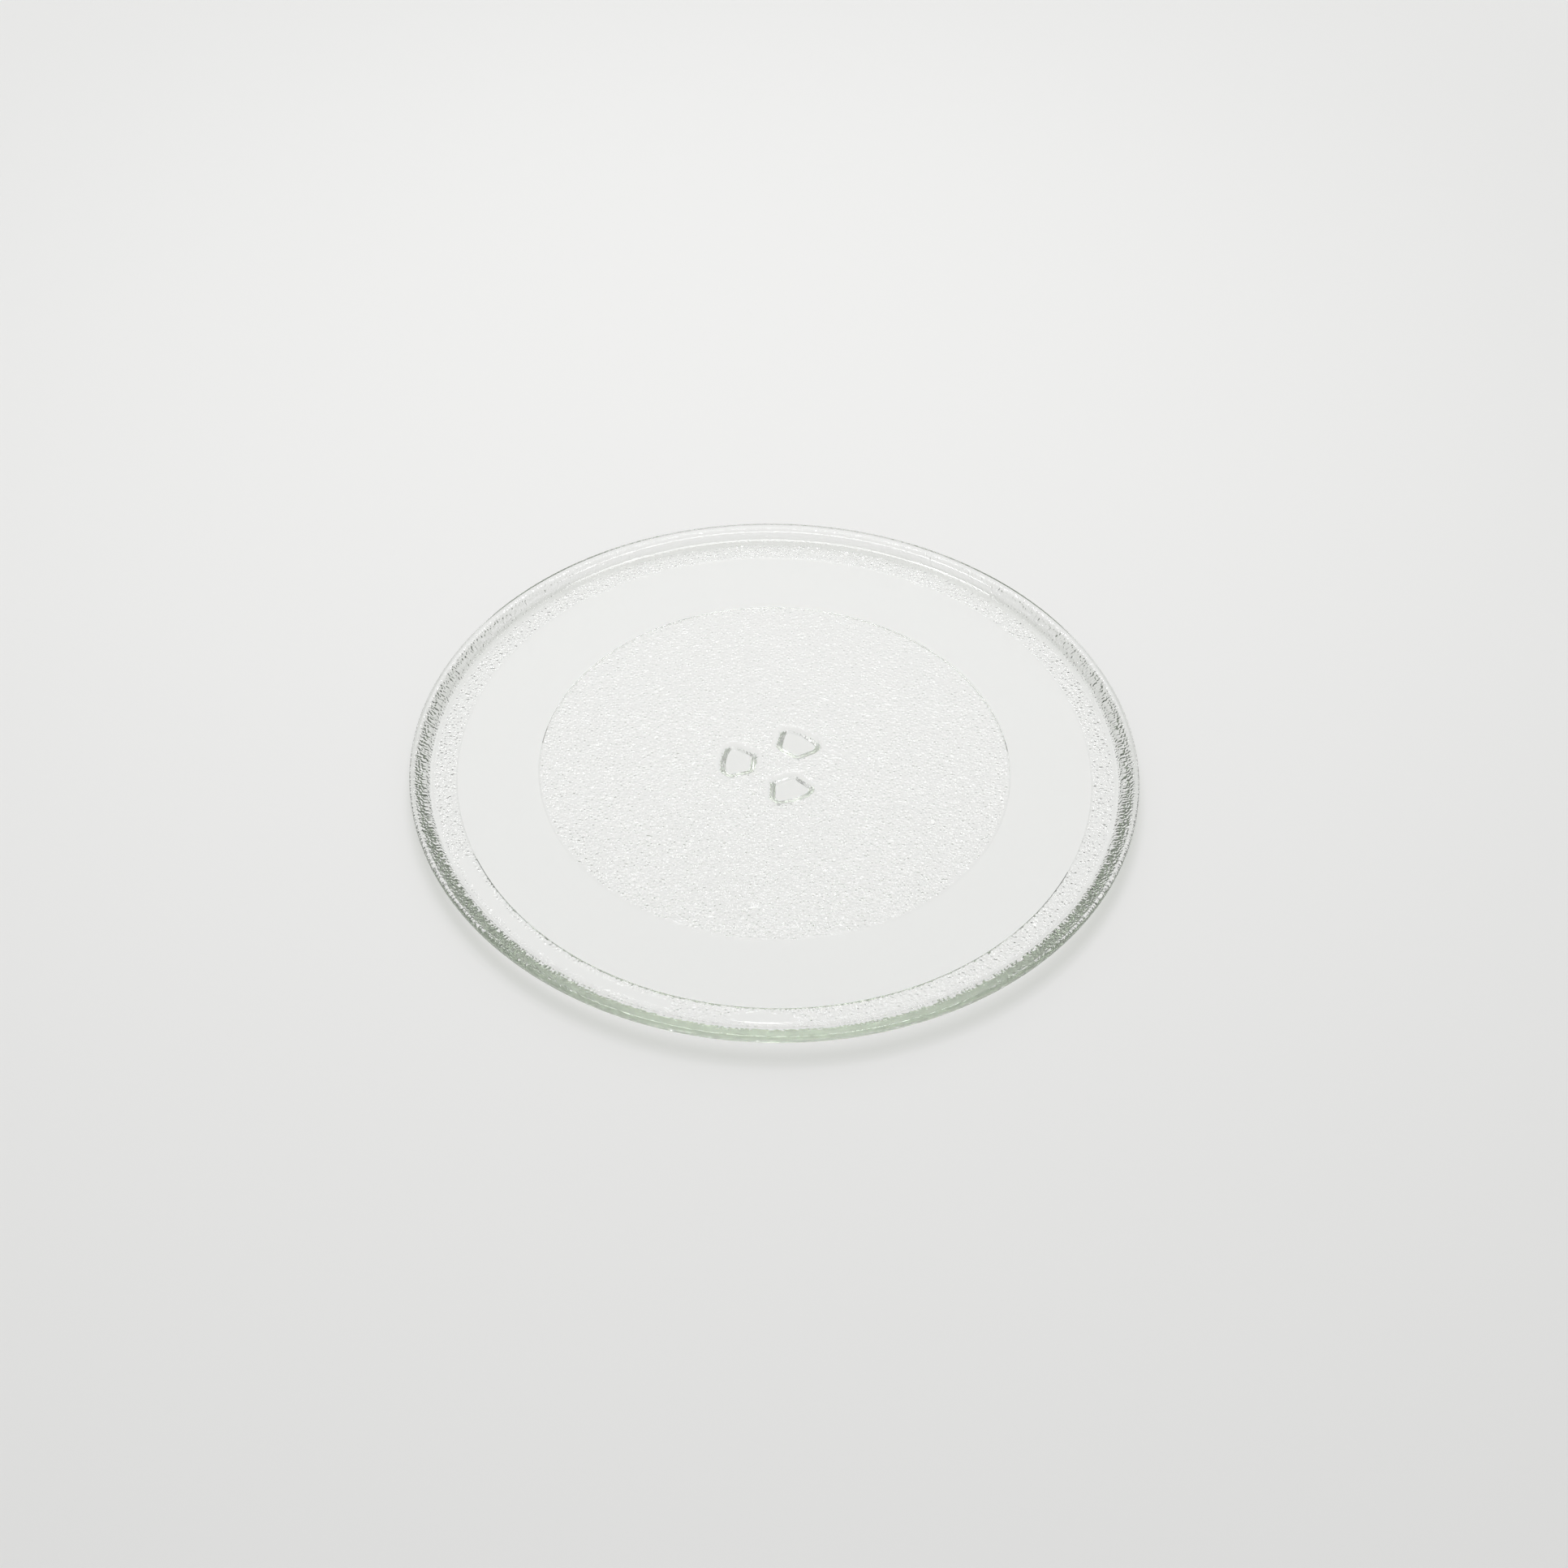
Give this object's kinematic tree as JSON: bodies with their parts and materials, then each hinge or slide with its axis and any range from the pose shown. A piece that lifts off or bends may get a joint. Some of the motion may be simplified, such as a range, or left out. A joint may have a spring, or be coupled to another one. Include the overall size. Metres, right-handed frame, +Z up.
{
  "type": "microwave turntable plate",
  "caption": "Round pressed-glass turntable plate with a low rounded rim, a smooth roller track and drive lugs under its stippled base.",
  "frame": {"origin": "on the plate's axis, at the level of the drive lugs' end faces, on which it stands", "axes": "+Z up along the plate's axis, out of the serving face; one drive lug lies on the -X side; -Y faces the viewer"},
  "size_m": [0.324, 0.324, 0.012],
  "materials": {
    "clear_glass": "fire-polished clear glass, faintly green, stippled underneath except on the roller track"
  },
  "bodies": {
    "root": {"turntable_plate": "clear_glass"}
  },
  "joints": []
}
